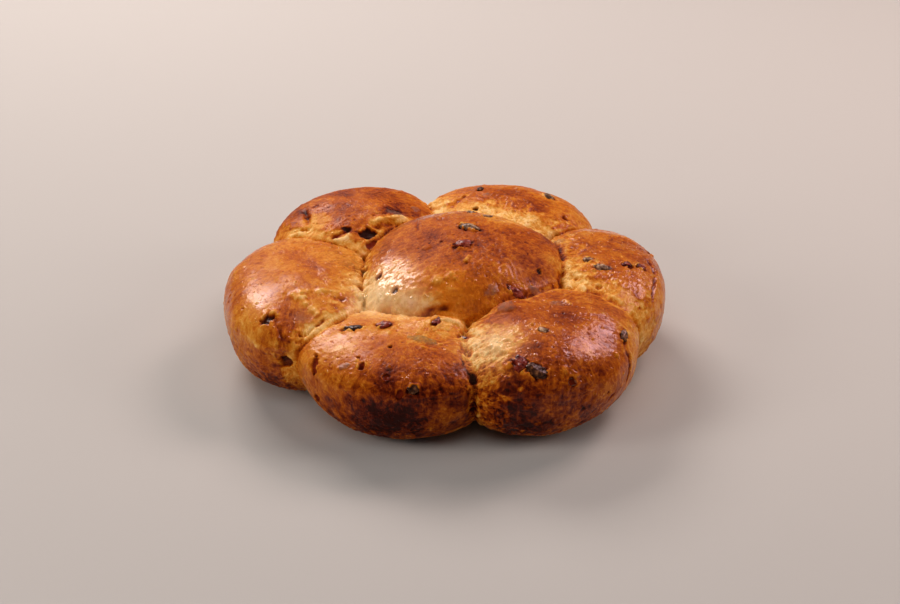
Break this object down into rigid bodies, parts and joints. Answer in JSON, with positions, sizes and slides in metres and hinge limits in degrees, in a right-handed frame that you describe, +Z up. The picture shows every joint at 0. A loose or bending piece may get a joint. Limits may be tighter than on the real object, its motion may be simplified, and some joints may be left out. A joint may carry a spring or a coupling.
{
  "type": "fruit brioche",
  "caption": "Flower-shaped fruit brioche: a round middle bun ringed by outer buns baked into one glossy loaf, with dried fruit in its crust.",
  "frame": {"origin": "the middle of the loaf's box, on the surface it lies on", "axes": "+Z up, +X to the right and +Y away from someone who faces the two front buns"},
  "size_m": [0.2504, 0.2426, 0.0755],
  "materials": {
    "egg_washed_crust": null
  },
  "bodies": {
    "root": {"brioche": "egg_washed_crust"}
  },
  "joints": []
}
